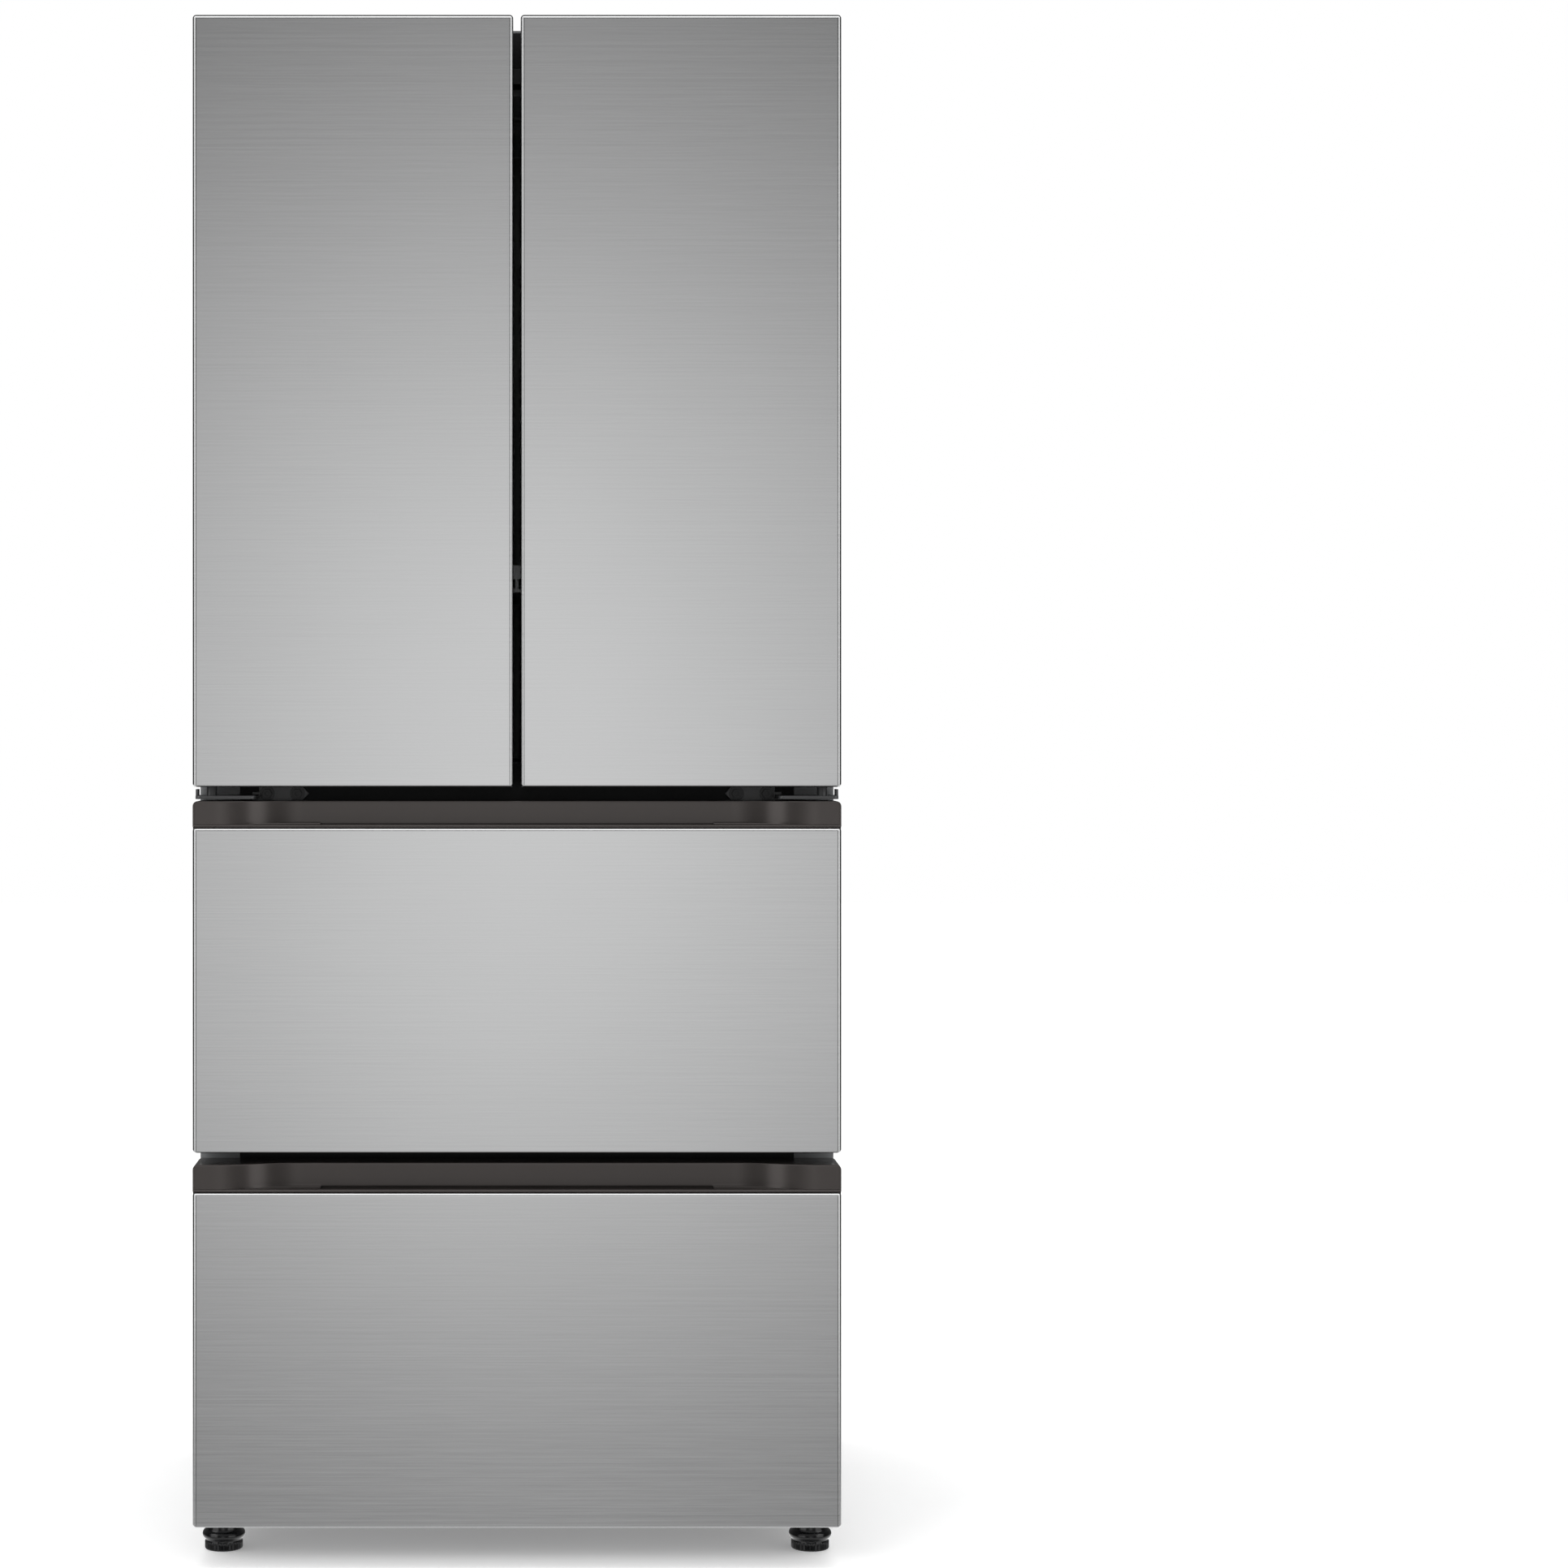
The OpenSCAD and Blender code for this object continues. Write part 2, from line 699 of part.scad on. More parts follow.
// outline of the scoop seen from above: at each end one bend leads in and a second one levels it out
module scoop_outline() {
    bend_from = 25;
    bend_runs = [49, 54];
    bend_to = bend_from + bend_runs[0] + bend_runs[1];
    steps = 12;
    tilt = 2 * atan(scoop_depth / (bend_runs[0] + bend_runs[1]));
    outer_r = bend_runs[0] / sin(tilt);
    inner_r = bend_runs[1] / sin(tilt);
    right = concat(
        [for (k = [0:steps]) let (a = tilt * k / steps)
            [half_front - bend_from - outer_r * sin(a), front_y - 0.01 + outer_r * (1 - cos(a))]],
        [for (k = [steps - 1:-1:0]) let (a = tilt * k / steps)
            [half_front - bend_to + inner_r * sin(a), front_y + scoop_depth - inner_r * (1 - cos(a))]]
    );
    polygon(concat(
        [[half_front - bend_from, front_y - 5]], right,
        [for (k = [len(right) - 1:-1:0]) [-right[k][0], right[k][1]]],
        [[bend_from - half_front, front_y - 5]]
    ));
}

module drawer_handle(top, band) {
    ledge = top - band + 5;
    color("#3f3b3a") difference() {
        union() {
            slab([-half_front, half_front], [front_y, door_back_y - 1], [top - band, top], 6);
            box([-half_front, half_front], [front_y, door_back_y - 1], [top - band, top - band / 2]);
            box(
                [2 - half_front, half_front - 2],
                [front_y + 2, door_back_y - 3],
                [top - band - 26, top - band]
            );
        }
        translate([0, 0, ledge]) linear_extrude(band) scoop_outline();
        box([-230, 230], [front_y + 6, front_y + scoop_depth], [top - band - 22, ledge + 1]);
    }
}

module drawer_skin(bottom, edge) {
    x = [-half_front, half_front];
    z = [bottom, edge];
    color("#c4c5c7") difference() {
        slab(x, skin_y, z, corner_r);
        slab(grow(x, -sheet_t), skin_core_y, grow(z, -sheet_t), corner_r - 1);
        box(grow(x, -hem), [front_y + sheet_t, door_back_y], [bottom + hem, edge]);
        box([1 - half_front, half_front - 1], [front_y + 1.5, door_back_y], [edge - 5, edge + 1]);
    }
}

module drawer_foam(bottom, edge) {
    color("#e9d9a8") slab(
        [1.2 - half_front, half_front - 1.2], [front_y + 1.2, door_back_y - 3.2], [bottom + 1.2, edge - 26], 3
    );
}

module drawer_panel(bottom, top) {
    color("#f1f2f2") slab(
        [5 - half_front, half_front - 5], [door_back_y - 1, door_back_y], [bottom + 4, top - 3], 6
    );
}

module drawer_gasket(z) {
    color("#8b8e90") ring([-354, 354], [door_back_y, cabinet_y - seal_gap], z, 14);
}

module basket(z, rear) {
    color("#e3e6e8") {
        tub([-304, 304], [door_back_y, rear], z, 14, tub_t);
        for (x = [[-307, -303], [303, 307]]) box(x, [door_back_y, rear - 14], [z[1] - 4, z[1]]);
    }
}

// ---------- crispers ----------

module crisper(side) {
    z = [945, crisper_shelf_z - 14];
    x = [9, bay_x - 10];
    y = [-150, 248];
    color([0.9, 0.95, 0.97, 0.6]) on_side(side) difference() {
        union() {
            tray(x, y, [z[0], z[1] - 4], 8);
            tray([x[0], x[1]], [y[0], y[0] + 14], [z[0] + 6, z[1] - 4], 5);
            box([x[0] - 5, x[1] + 3], [y[0] + 14, y[1] - 6], [z[1] - 5.5, z[1] - 3.5]);
        }
        tray(grow(x, -tub_t), [y[0] + 14, y[1] - tub_t], [z[0] + tub_t, z[1] + 1], 6);
        box([x[0] + 40, x[1] - 40], [y[0] - 1, y[0] + 9], [z[1] - 34, z[1] - 20]);
    }
}

// ---------- feet and rollers ----------

module foot(side) {
    color("#141414") translate([side * foot_x, foot_y, 0]) {
        difference() {
            rotate_extrude() polygon([
                [0, 0], [foot_r - 1.5, 0], [foot_r, 1.5], [foot_r, 9.4], [foot_r - 0.9, 10.8],
                [foot_r - 0.8, 12.6], [foot_r + 1.6, 15.2], [foot_r + 2.8, 18.3], [foot_r + 1.6, 21],
                [foot_r - 0.6, 23.2], [foot_r - 1.4, 30], [foot_stem_r, 30], [foot_stem_r, 57], [0, 57],
            ]);
            for (a = [0:12:348]) rotate([0, 0, a]) translate([foot_r + 0.6, 0, 2]) {
                cylinder(h = 6.6, r = 1.2);
            }
        }
    }
}

module rear_rollers() {
    color("#2b2b2b") both_sides() translate([0, roller_y, roller_r]) difference() {
        rod_x(roller_x, roller_r);
        rod_x(grow(roller_x, 1), 4 + fit);
    }
}

module door_left_skin() { door_skin(-1); }
module door_left_foam() { door_foam(-1); }
module door_left_caps() { door_caps(-1); }
module door_left_liner() { door_liner(-1); }
module door_left_gasket() { door_gasket(-1); }
module door_left_bins() { door_bins(-1); }
module door_right_skin() { door_skin(1); }
module door_right_foam() { door_foam(1); }
module door_right_caps() { door_caps(1); }
module door_right_liner() { door_liner(1); }
module door_right_gasket() { door_gasket(1); }
module door_right_bins() { door_bins(1); }
module middle_skin() { drawer_skin(middle_bottom, middle_top - middle_band); }
module middle_handle() { drawer_handle(middle_top, middle_band); }
module middle_foam() { drawer_foam(middle_bottom, middle_top - middle_band); }
module middle_panel() { drawer_panel(middle_bottom, middle_top); }
module middle_gasket() { drawer_gasket([middle_z[0] - 20, middle_z[1] + 21]); }
module middle_basket() { basket([530, 800], 205); }
module middle_rails() { inner_rails(middle_rail_z, 190); }
module middle_rail_members() { rail_members(middle_rail_z, 190); }
module freezer_skin() { drawer_skin(freezer_bottom, freezer_top - freezer_band); }
module freezer_handle() { drawer_handle(freezer_top, freezer_band); }
module freezer_foam() { drawer_foam(freezer_bottom, freezer_top - freezer_band); }
module freezer_panel() { drawer_panel(freezer_bottom, freezer_top); }
module freezer_gasket() { drawer_gasket([freezer_z[0] - 19, freezer_z[1] + 23]); }
module freezer_basket() { basket([122, 390], 116); }
module freezer_rails() { inner_rails(freezer_rail_z, 104); }
module freezer_rail_members() { rail_members(freezer_rail_z, 104); }
module crisper_left() { crisper(-1); }
module crisper_right() { crisper(1); }
module foot_left() { foot(-1); }
module foot_right() { foot(1); }

cabinet_shell();
back_panel();
insulation_foam();
fridge_liner();
drawer_liners();
front_rails();
base_frame();
machine_cover();
compressor();
condenser();
condenser_fan_bracket();
condenser_fan();
drain_pan();
evaporator();
evaporator_fan();
air_duct_panels();
top_hinges();
hinge_covers();
middle_hinges();
fasteners();
mullion_guide();
shelf_glass();
shelf_trims();
control_panel();
fixed_rails();
cord_gland();
door_left_skin();
door_left_foam();
door_left_caps();
door_left_liner();
door_left_gasket();
door_left_bins();
flip_mullion();
door_right_skin();
door_right_foam();
door_right_caps();
door_right_liner();
door_right_gasket();
door_right_bins();
middle_skin();
middle_handle();
middle_foam();
middle_panel();
middle_gasket();
middle_basket();
middle_rails();
middle_rail_members();
freezer_skin();
freezer_handle();
freezer_foam();
freezer_panel();
freezer_gasket();
freezer_basket();
freezer_rails();
freezer_rail_members();
crisper_left();
crisper_right();
foot_left();
foot_right();
rear_rollers();
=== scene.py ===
"""Looks of the french door refrigerator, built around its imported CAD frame."""
import json
import math

import bmesh
import bpy
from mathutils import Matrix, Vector


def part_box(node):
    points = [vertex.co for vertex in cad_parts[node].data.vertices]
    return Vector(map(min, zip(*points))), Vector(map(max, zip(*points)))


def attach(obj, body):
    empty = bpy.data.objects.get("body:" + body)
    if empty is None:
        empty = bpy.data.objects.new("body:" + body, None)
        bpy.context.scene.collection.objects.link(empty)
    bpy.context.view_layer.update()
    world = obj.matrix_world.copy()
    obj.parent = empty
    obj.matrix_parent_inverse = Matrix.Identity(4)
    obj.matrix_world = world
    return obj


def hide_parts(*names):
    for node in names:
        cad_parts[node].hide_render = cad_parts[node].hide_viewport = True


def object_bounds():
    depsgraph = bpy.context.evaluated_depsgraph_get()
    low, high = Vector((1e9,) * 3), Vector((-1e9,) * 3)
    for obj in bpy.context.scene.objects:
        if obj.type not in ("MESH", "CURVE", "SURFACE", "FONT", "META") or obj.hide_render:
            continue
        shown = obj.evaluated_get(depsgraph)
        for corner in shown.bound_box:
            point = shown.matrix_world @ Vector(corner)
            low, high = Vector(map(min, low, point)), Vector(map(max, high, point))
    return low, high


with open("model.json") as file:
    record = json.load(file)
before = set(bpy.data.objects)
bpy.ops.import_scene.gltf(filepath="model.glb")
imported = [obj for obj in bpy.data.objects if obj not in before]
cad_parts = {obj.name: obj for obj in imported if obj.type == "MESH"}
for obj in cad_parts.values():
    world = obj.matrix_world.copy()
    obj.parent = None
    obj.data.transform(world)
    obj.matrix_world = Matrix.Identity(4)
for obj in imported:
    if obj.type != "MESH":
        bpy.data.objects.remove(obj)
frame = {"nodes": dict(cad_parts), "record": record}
cad_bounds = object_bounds()

MM = 0.001
NODES = frame["nodes"]
SLOT_OF = {part["node"]: part["material_slot"] for part in frame["record"]["subparts"]}
BODY_OF = {n: b for b, members in frame["record"]["behaviour"]["bodies"].items() for n in members}
DOORS = ("left", "right")
DRAWERS = ("middle", "freezer")


# ---------- materials ----------

def principled(name, color, **sockets):
    """A material with one Principled shader, whose constant inputs are set on its own sockets."""
    mat = bpy.data.materials.new(name)
    mat.use_nodes = True
    tree = mat.node_tree
    shader = tree.nodes["Principled BSDF"]
    shader.inputs["Base Color"].default_value = (*color, 1)
    for socket, value in sockets.items():
        shader.inputs[socket.replace("_", " ")].default_value = value
    return mat, tree, shader


def noise(tree, scale, detail=3.0, roughness=0.5, stretch=(1, 1, 1)):
    """Noise in the piece's own metres, with `scale` features a metre, stretched along the axes."""
    coordinates = tree.nodes.new("ShaderNodeTexCoord")
    mapping = tree.nodes.new("ShaderNodeMapping")
    mapping.inputs["Scale"].default_value = stretch
    texture = tree.nodes.new("ShaderNodeTexNoise")
    texture.inputs["Scale"].default_value = scale
    texture.inputs["Detail"].default_value = detail
    texture.inputs["Roughness"].default_value = roughness
    tree.links.new(coordinates.outputs["Object"], mapping.inputs["Vector"])
    tree.links.new(mapping.outputs["Vector"], texture.inputs["Vector"])
    return texture.outputs["Fac"]


def mapped(tree, source, low, high, start=0.3, end=0.7):
    """A value moved from the range start to end onto low to high, and held inside it."""
    node = tree.nodes.new("ShaderNodeMapRange")
    node.inputs["From Min"].default_value = start
    node.inputs["From Max"].default_value = end
    node.inputs["To Min"].default_value = low
    node.inputs["To Max"].default_value = high
    tree.links.new(source, node.inputs["Value"])
    return node.outputs["Result"]


def combined(tree, first, second, operation="ADD"):
    """The sum of two values, or what another operation makes of them. The second may be a number."""
    node = tree.nodes.new("ShaderNodeMath")
    node.operation = operation
    tree.links.new(first, node.inputs[0])
    if isinstance(second, (int, float)):
        node.inputs[1].default_value = second
    else:
        tree.links.new(second, node.inputs[1])
    return node.outputs[0]


def tint(tree, shader, factor, color, spread):
    """Base colour that runs from darker to lighter by `spread` as factor goes from 0 to 1."""
    mix = tree.nodes.new("ShaderNodeMix")
    mix.data_type = "RGBA"
    mix.inputs["A"].default_value = (*[c * (1 - spread) for c in color], 1)
    mix.inputs["B"].default_value = (*[min(1, c * (1 + spread)) for c in color], 1)
    tree.links.new(factor, mix.inputs["Factor"])
    tree.links.new(mix.outputs["Result"], shader.inputs["Base Color"])


def bump(tree, shader, height, distance):
    """Relief in the shader's normal, `distance` metres deep where height is 1."""
    node = tree.nodes.new("ShaderNodeBump")
    node.inputs["Distance"].default_value = distance
    tree.links.new(height, node.inputs["Height"])
    tree.links.new(node.outputs["Normal"], shader.inputs["Normal"])


BRUSH_RELIEF = 0.000001


def brushed(name, color, roughness, pitch=700, spread=0.05):
    """Metal brushed along X, with `pitch` streaks a metre in its colour, roughness and relief."""
    mat, tree, shader = principled(name, color, Metallic=1.0)
    fine = noise(tree, 1, detail=3, roughness=0.7, stretch=(1.3, 1, pitch))
    broken = noise(tree, 1, detail=3, roughness=0.6, stretch=(14, 14, pitch * 0.8))
    cloud = noise(tree, 2.2, detail=2)
    streaks = combined(tree, mapped(tree, fine, 0, 0.6), mapped(tree, broken, 0, 0.4))
    tint(tree, shader, streaks, color, spread)
    worn = combined(tree, mapped(tree, streaks, -0.03, 0.03, 0, 1), mapped(tree, cloud, -0.01, 0.01))
    tree.links.new(combined(tree, worn, roughness), shader.inputs["Roughness"])
    bump(tree, shader, fine, BRUSH_RELIEF)
    return mat


def moulded(name, color, roughness, grain=900, height=0.00004, spread=0.06, **sockets):
    """Moulded plastic, rubber or paint: fine surface grain under a slow change of colour."""
    mat, tree, shader = principled(name, color, **sockets)
    grit = noise(tree, grain, detail=2)
    cloud = noise(tree, 9, detail=3)
    tint(tree, shader, mapped(tree, cloud, 0, 1), color, spread)
    rough = combined(tree, mapped(tree, cloud, -0.025, 0.025), mapped(tree, grit, -0.03, 0.03))
    tree.links.new(combined(tree, rough, roughness), shader.inputs["Roughness"])
    bump(tree, shader, grit, height)
    return mat


def make_materials():
    """One material for each material slot of the record."""
    return {
        "stainless": brushed("stainless", (0.60, 0.603, 0.606), 0.17, spread=0.08),
        "handle_trim": moulded(
            "handle_trim", (0.052, 0.0455, 0.043), 0.2, grain=2600, height=0.000004, Metallic=0.5
        ),
        "case_paint": moulded("case_paint", (0.17, 0.174, 0.178), 0.42, grain=700, height=0.00012, spread=0.02),
        "galvanised": moulded(
            "galvanised", (0.5, 0.51, 0.52), 0.55, grain=160, height=0.000003, spread=0.025, Metallic=0.5
        ),
        "foam": moulded("foam", (0.78, 0.66, 0.38), 0.9, grain=1500, height=0.0004, spread=0.1),
        "liner": moulded("liner", (0.80, 0.81, 0.815), 0.3, grain=1300, height=0.00002, spread=0.015),
        "dark_steel": moulded(
            "dark_steel", (0.05, 0.051, 0.053), 0.33, grain=1200, height=0.00002, Specular_IOR_Level=0.7
        ),
        "rail_steel": brushed("rail_steel", (0.55, 0.56, 0.57), 0.3, pitch=300),
        "cap_plastic": moulded("cap_plastic", (0.085, 0.088, 0.092), 0.5, grain=1800, height=0.00006),
        "gasket": moulded("gasket", (0.16, 0.163, 0.17), 0.55, grain=1500, height=0.00004),
        "clear_plastic": moulded(
            "clear_plastic", (0.96, 0.975, 0.98), 0.06, grain=500, height=0.00001, spread=0.01,
            Transmission_Weight=0.93, IOR=1.49,
        ),
        "glass": moulded(
            "glass", (0.90, 0.965, 0.945), 0.03, grain=200, height=0.000002, spread=0.01,
            Transmission_Weight=1.0, IOR=1.5,
        ),
        "shelf_trim": moulded("shelf_trim", (0.6, 0.61, 0.62), 0.3, grain=1500, height=0.00002, Metallic=0.5),
        "black_plastic": moulded("black_plastic", (0.013, 0.013, 0.014), 0.45, grain=1500),
        "gloss_black": moulded("gloss_black", (0.004, 0.004, 0.0045), 0.16, grain=900, height=0.00001),
        "machine_black": moulded("machine_black", (0.014, 0.014, 0.015), 0.32, grain=500, height=0.00008),
        "aluminium": brushed("aluminium", (0.72, 0.73, 0.74), 0.35, pitch=400),
        "panel_grey": moulded("panel_grey", (0.42, 0.43, 0.44), 0.35, grain=1500),
        "basket": moulded(
            "basket", (0.86, 0.88, 0.885), 0.3, grain=1200, height=0.00001, spread=0.01, Transmission_Weight=0.2
        ),
        "rubber": moulded("rubber", (0.015, 0.015, 0.015), 0.7, grain=1200),
        "screw_black": moulded(
            "screw_black", (0.005, 0.005, 0.0055), 0.14, grain=1500, height=0.000004, Specular_IOR_Level=0.25
        ),
        "rail_black": moulded(
            "rail_black", (0.005, 0.005, 0.0055), 0.5, grain=900, height=0.00006, Specular_IOR_Level=0.25
        ),
    }


MATERIALS = make_materials()


# ---------- mesh helpers ----------

def new_piece(name, verts, faces, node, smooth=35, thickness=0.0):
    """A mesh piece that stands for a CAD node, rides on its body and takes its material slot.

    Edges sharper than `smooth` degrees stay sharp. A thickness makes a sheet of it, inwards.
    """
    mesh = bpy.data.meshes.new(name)
    mesh.from_pydata([tuple(v) for v in verts], [], faces)
    mesh.validate()
    build = bmesh.new()
    build.from_mesh(mesh)
    bmesh.ops.recalc_face_normals(build, faces=build.faces)
    build.to_mesh(mesh)
    build.free()
    mesh.polygons.foreach_set("use_smooth", [True] * len(mesh.polygons))
    mesh.set_sharp_from_angle(angle=math.radians(smooth))
    mesh.materials.append(MATERIALS[SLOT_OF[node]])
    piece = bpy.data.objects.new(name, mesh)
    bpy.context.scene.collection.objects.link(piece)
    if thickness:
        shell = piece.modifiers.new("sheet", "SOLIDIFY")
        shell.thickness = thickness
        shell.offset = -1
    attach(piece, BODY_OF[node])
    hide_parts(node)


CORNER_STEPS = 6
SMALLEST_RADIUS = 0.01 * MM


def rounded_rect(x, z, r):
    """Points round a rectangle with round corners, anticlockwise seen from the front (-Y)."""
    r = max(r, SMALLEST_RADIUS)
    points = []
    for cx, cz, start in ((x[1] - r, z[0] + r, -90), (x[1] - r, z[1] - r, 0),
                          (x[0] + r, z[1] - r, 90), (x[0] + r, z[0] + r, 180)):
        for k in range(CORNER_STEPS + 1):
            a = math.radians(start + 90 * k / CORNER_STEPS)
            points.append((cx + r * math.cos(a), cz + r * math.sin(a)))
    return points


def inset(span, d):
    """A (low, high) span that starts and ends `d` further in."""
    return (span[0] + d, span[1] - d)


def quarter_round(radius, steps):
    """Points of a quarter turn, as distances in from the edge and back from the face, face first."""
    turns = [math.radians(90 / steps * k) for k in range(steps + 1)]
    return [(radius * (1 - math.sin(a)), radius * (1 - math.cos(a))) for a in turns]


def bridge(count, loops, closed=False):
    """Quads between consecutive loops of `count` points, and from the last to the first if closed."""
    faces = []
    for k in range(loops if closed else loops - 1):
        here, there = k * count, (k + 1) % loops * count
        for i in range(count):
            j = (i + 1) % count
            faces.append((here + i, here + j, there + j, there + i))
    return faces


# ---------- stainless fronts ----------

EDGE_ROLL = 4.4 * MM  # radius of the rolled edges
BOTTOM_ROLL = 2.2 * MM  # how far the roll rises along the bottom edge
ROLL_STEPS = 8
FACE_MARGIN = 0.8 * MM  # flat strip that separates the face from its roll
CORNER = 4.2 * MM
SHEET = 0.9 * MM
DOOR_RETURN = 12 * MM
DRAWER_RETURN = EDGE_ROLL + 0.5 * MM
HEM = 13 * MM
CAP_HEIGHT = 37 * MM  # a door's hems stop this far from its top and bottom, where its caps are


def steel_front(node, is_door):
    """A folded stainless front: flat face, rolled edges and short returns all round.

    Both sides of a door, and the sides and bottom of a drawer, reach the back and end in hems.
    """
    low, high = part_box(node)
    x, z, front, back = (low.x, high.x), (low.z, high.z), low.y, high.y
    profile = [(EDGE_ROLL + FACE_MARGIN, 0)] + quarter_round(EDGE_ROLL, ROLL_STEPS)
    profile.append((0, DOOR_RETURN if is_door else DRAWER_RETURN))
    verts = []
    for d, depth in profile:
        rise = d * BOTTOM_ROLL / EDGE_ROLL
        for px, pz in rounded_rect(inset(x, d), (z[0] + rise, z[1] - d), CORNER - d):
            verts.append((px, front + depth, pz))
    count = len(verts) // len(profile)
    faces = [tuple(range(count))] + bridge(count, len(profile))
    last = (len(profile) - 1) * count
    corner = count // 4
    hem = rounded_rect(inset(x, HEM), inset(z, CAP_HEIGHT if is_door else HEM), 0.5 * MM)
    if is_door:
        chains = [(corner - 1, corner), (3 * corner - 1, 3 * corner)]
    else:
        chains = [tuple(range(corner, -1, -1)) + tuple(range(count - 1, 3 * corner - 2, -1))]
    for chain in chains:
        rows = [[last + k for k in chain], [], []]
        for k in chain:
            px, _, pz = verts[last + k]
            rows[1].append(len(verts))
            verts.append((px, back, pz))
            rows[2].append(len(verts))
            verts.append((hem[k][0], back, hem[k][1]))
        for here, there in zip(rows, rows[1:]):
            for k in range(len(chain) - 1):
                faces.append((here[k], here[k + 1], there[k + 1], there[k]))
    new_piece(node + "_sheet", verts, faces, node, thickness=SHEET)


# ---------- handle bands ----------

BEND_FROM = 25 * MM  # from the band's end to its first bend
BEND_RUNS = (49 * MM, 54 * MM)  # how far along the band each bend goes
BEND_STEPS = 60
SCOOP = 20 * MM  # depth between the bends
BAND_ROUND = 6 * MM  # round of the top corner at each end
BAND_EDGE = 1.3 * MM  # round along the top
END_ROLL = 2.4 * MM  # round from the face to each end
ROUND_STEPS = 6
BAND_LIP = 3.4 * MM
LIP_DEPTH = 6 * MM
LIP_ROLL = 2.2 * MM
LIP_FILLET = 1.2 * MM
POCKET = 22 * MM  # how far the finger pocket goes down behind the lip
POCKET_HALF = 230 * MM
POCKET_RAMP = 1.5 * MM  # over which the pocket's ends close
SLIT = 1.2 * MM
GAP_OVER_STEEL = 0.9 * MM
TONGUE_DROP = 25 * MM  # how far the tongue reaches down behind the steel
TONGUE_GAP = 3 * MM  # from the tongue to the band's face and to its back
TONGUE_INSET = 2 * MM
BACK_DROP = 10 * MM


def scoop_depth(end):
    """Depth of the scoop at a distance from the band's end: a bend leads in, a second levels it out."""
    tilt = 2 * math.atan(SCOOP / sum(BEND_RUNS))
    outer, inner = (run / math.sin(tilt) for run in BEND_RUNS)
    run = min(max(0, end - BEND_FROM), sum(BEND_RUNS))
    if run <= BEND_RUNS[0]:
        return outer - math.sqrt(outer ** 2 - run ** 2)
    left = sum(BEND_RUNS) - run
    return SCOOP - inner + math.sqrt(inner ** 2 - left ** 2)


def arc_drop(radius, distance):
    """How far a round edge of this radius falls back at a distance from the end, 0 beyond the round."""
    return radius - math.sqrt(max(0, radius ** 2 - max(0, radius - distance) ** 2))


def band_section(end, front, back, base, top, half_width):
    """The band's cross-section (y, z) at a distance from its end, from the back over the top and down."""
    lip = base + BAND_LIP
    depth = scoop_depth(end)
    pull = arc_drop(END_ROLL, end)
    crown = top - arc_drop(BAND_ROUND, end)
    opened = min(1, max(0, (end - half_width + POCKET_HALF) / POCKET_RAMP))
    pocket = POCKET * opened
    slit = SLIT * opened
    wall = front + max(depth, pull) + 0.5 * MM
    lip_front = front + pull
    lip_back = min(lip_front + LIP_DEPTH, wall)
    fillet = min(LIP_FILLET, (wall - lip_back) * 0.4) * (1 - opened)
    under = base + GAP_OVER_STEEL
    row = [(back, base - BACK_DROP), (back, crown - BAND_EDGE), (back - BAND_EDGE, crown)]
    row += [(wall + d, crown - drop) for d, drop in quarter_round(BAND_EDGE, ROUND_STEPS)]
    row += [(wall, crown - 4 * MM), (wall, lip + 4 * MM), (wall, lip + fillet + slit)]
    row += [(wall - 0.3 * fillet + 2 * slit, lip + 0.3 * fillet + slit), (wall - fillet + 2 * slit, lip - pocket)]
    row += [(lip_back + 0.01 * MM, lip - pocket), (lip_back, lip - 0.5 * MM), (lip_back - 0.3 * MM, lip)]
    row += [(lip_front + d, lip - drop) for d, drop in quarter_round(LIP_ROLL, ROUND_STEPS)]
    row += [(lip_front, base + 1.05 * MM), (lip_front + 0.3 * MM, under)]
    row += [(lip_front + TONGUE_GAP, under), (lip_front + TONGUE_GAP, base - TONGUE_DROP)]
    return row + [(back - TONGUE_GAP, base - TONGUE_DROP), (back - TONGUE_GAP, base - BACK_DROP)]


def handle_band(drawer):
    """The dark band over a drawer's steel: flush ends, two bends into the scoop, a lip and a pocket."""
    node = f"{drawer}_handle"
    low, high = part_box(node)
    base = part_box(f"{drawer}_skin")[1].z
    ends = [BAND_ROUND * (1 - math.cos(math.radians(9 * k))) for k in range(11)]
    ends += [BEND_FROM + sum(BEND_RUNS) * k / BEND_STEPS for k in range(BEND_STEPS + 1)]
    pocket_end = high.x - POCKET_HALF
    ends += [pocket_end - 0.5 * MM, pocket_end, pocket_end + POCKET_RAMP]
    ends += [d * MM for d in (8, 14, 20, 140, 160, 260)]
    stations = sorted({round(end, 6) for end in ends})
    xs = [end - high.x for end in stations] + [0] + [high.x - end for end in reversed(stations)]
    verts = []
    for x in xs:
        row = band_section(high.x - abs(x), low.y, high.y, base, high.z, high.x)
        tongue_x = math.copysign(min(abs(x), high.x - TONGUE_INSET), x)
        verts += [(x if z > base + 0.8 * MM else tongue_x, y, z) for y, z in row]
    rows = len(verts) // len(xs)
    faces = bridge(rows, len(xs))
    faces.append(tuple(range(rows)))
    faces.append(tuple((len(xs) - 1) * rows + k for k in reversed(range(rows))))
    new_piece(node + "_band", verts, faces, node, smooth=32)


# ---------- feet ----------

# Lengths in this section are in mm.
RIBS = 36
RIB_STEPS = 6
RIB_DEPTH = 1.2
TAB_REACH = 22.7
TAB_BEAD = 0.55
TAB_SIDES = 8


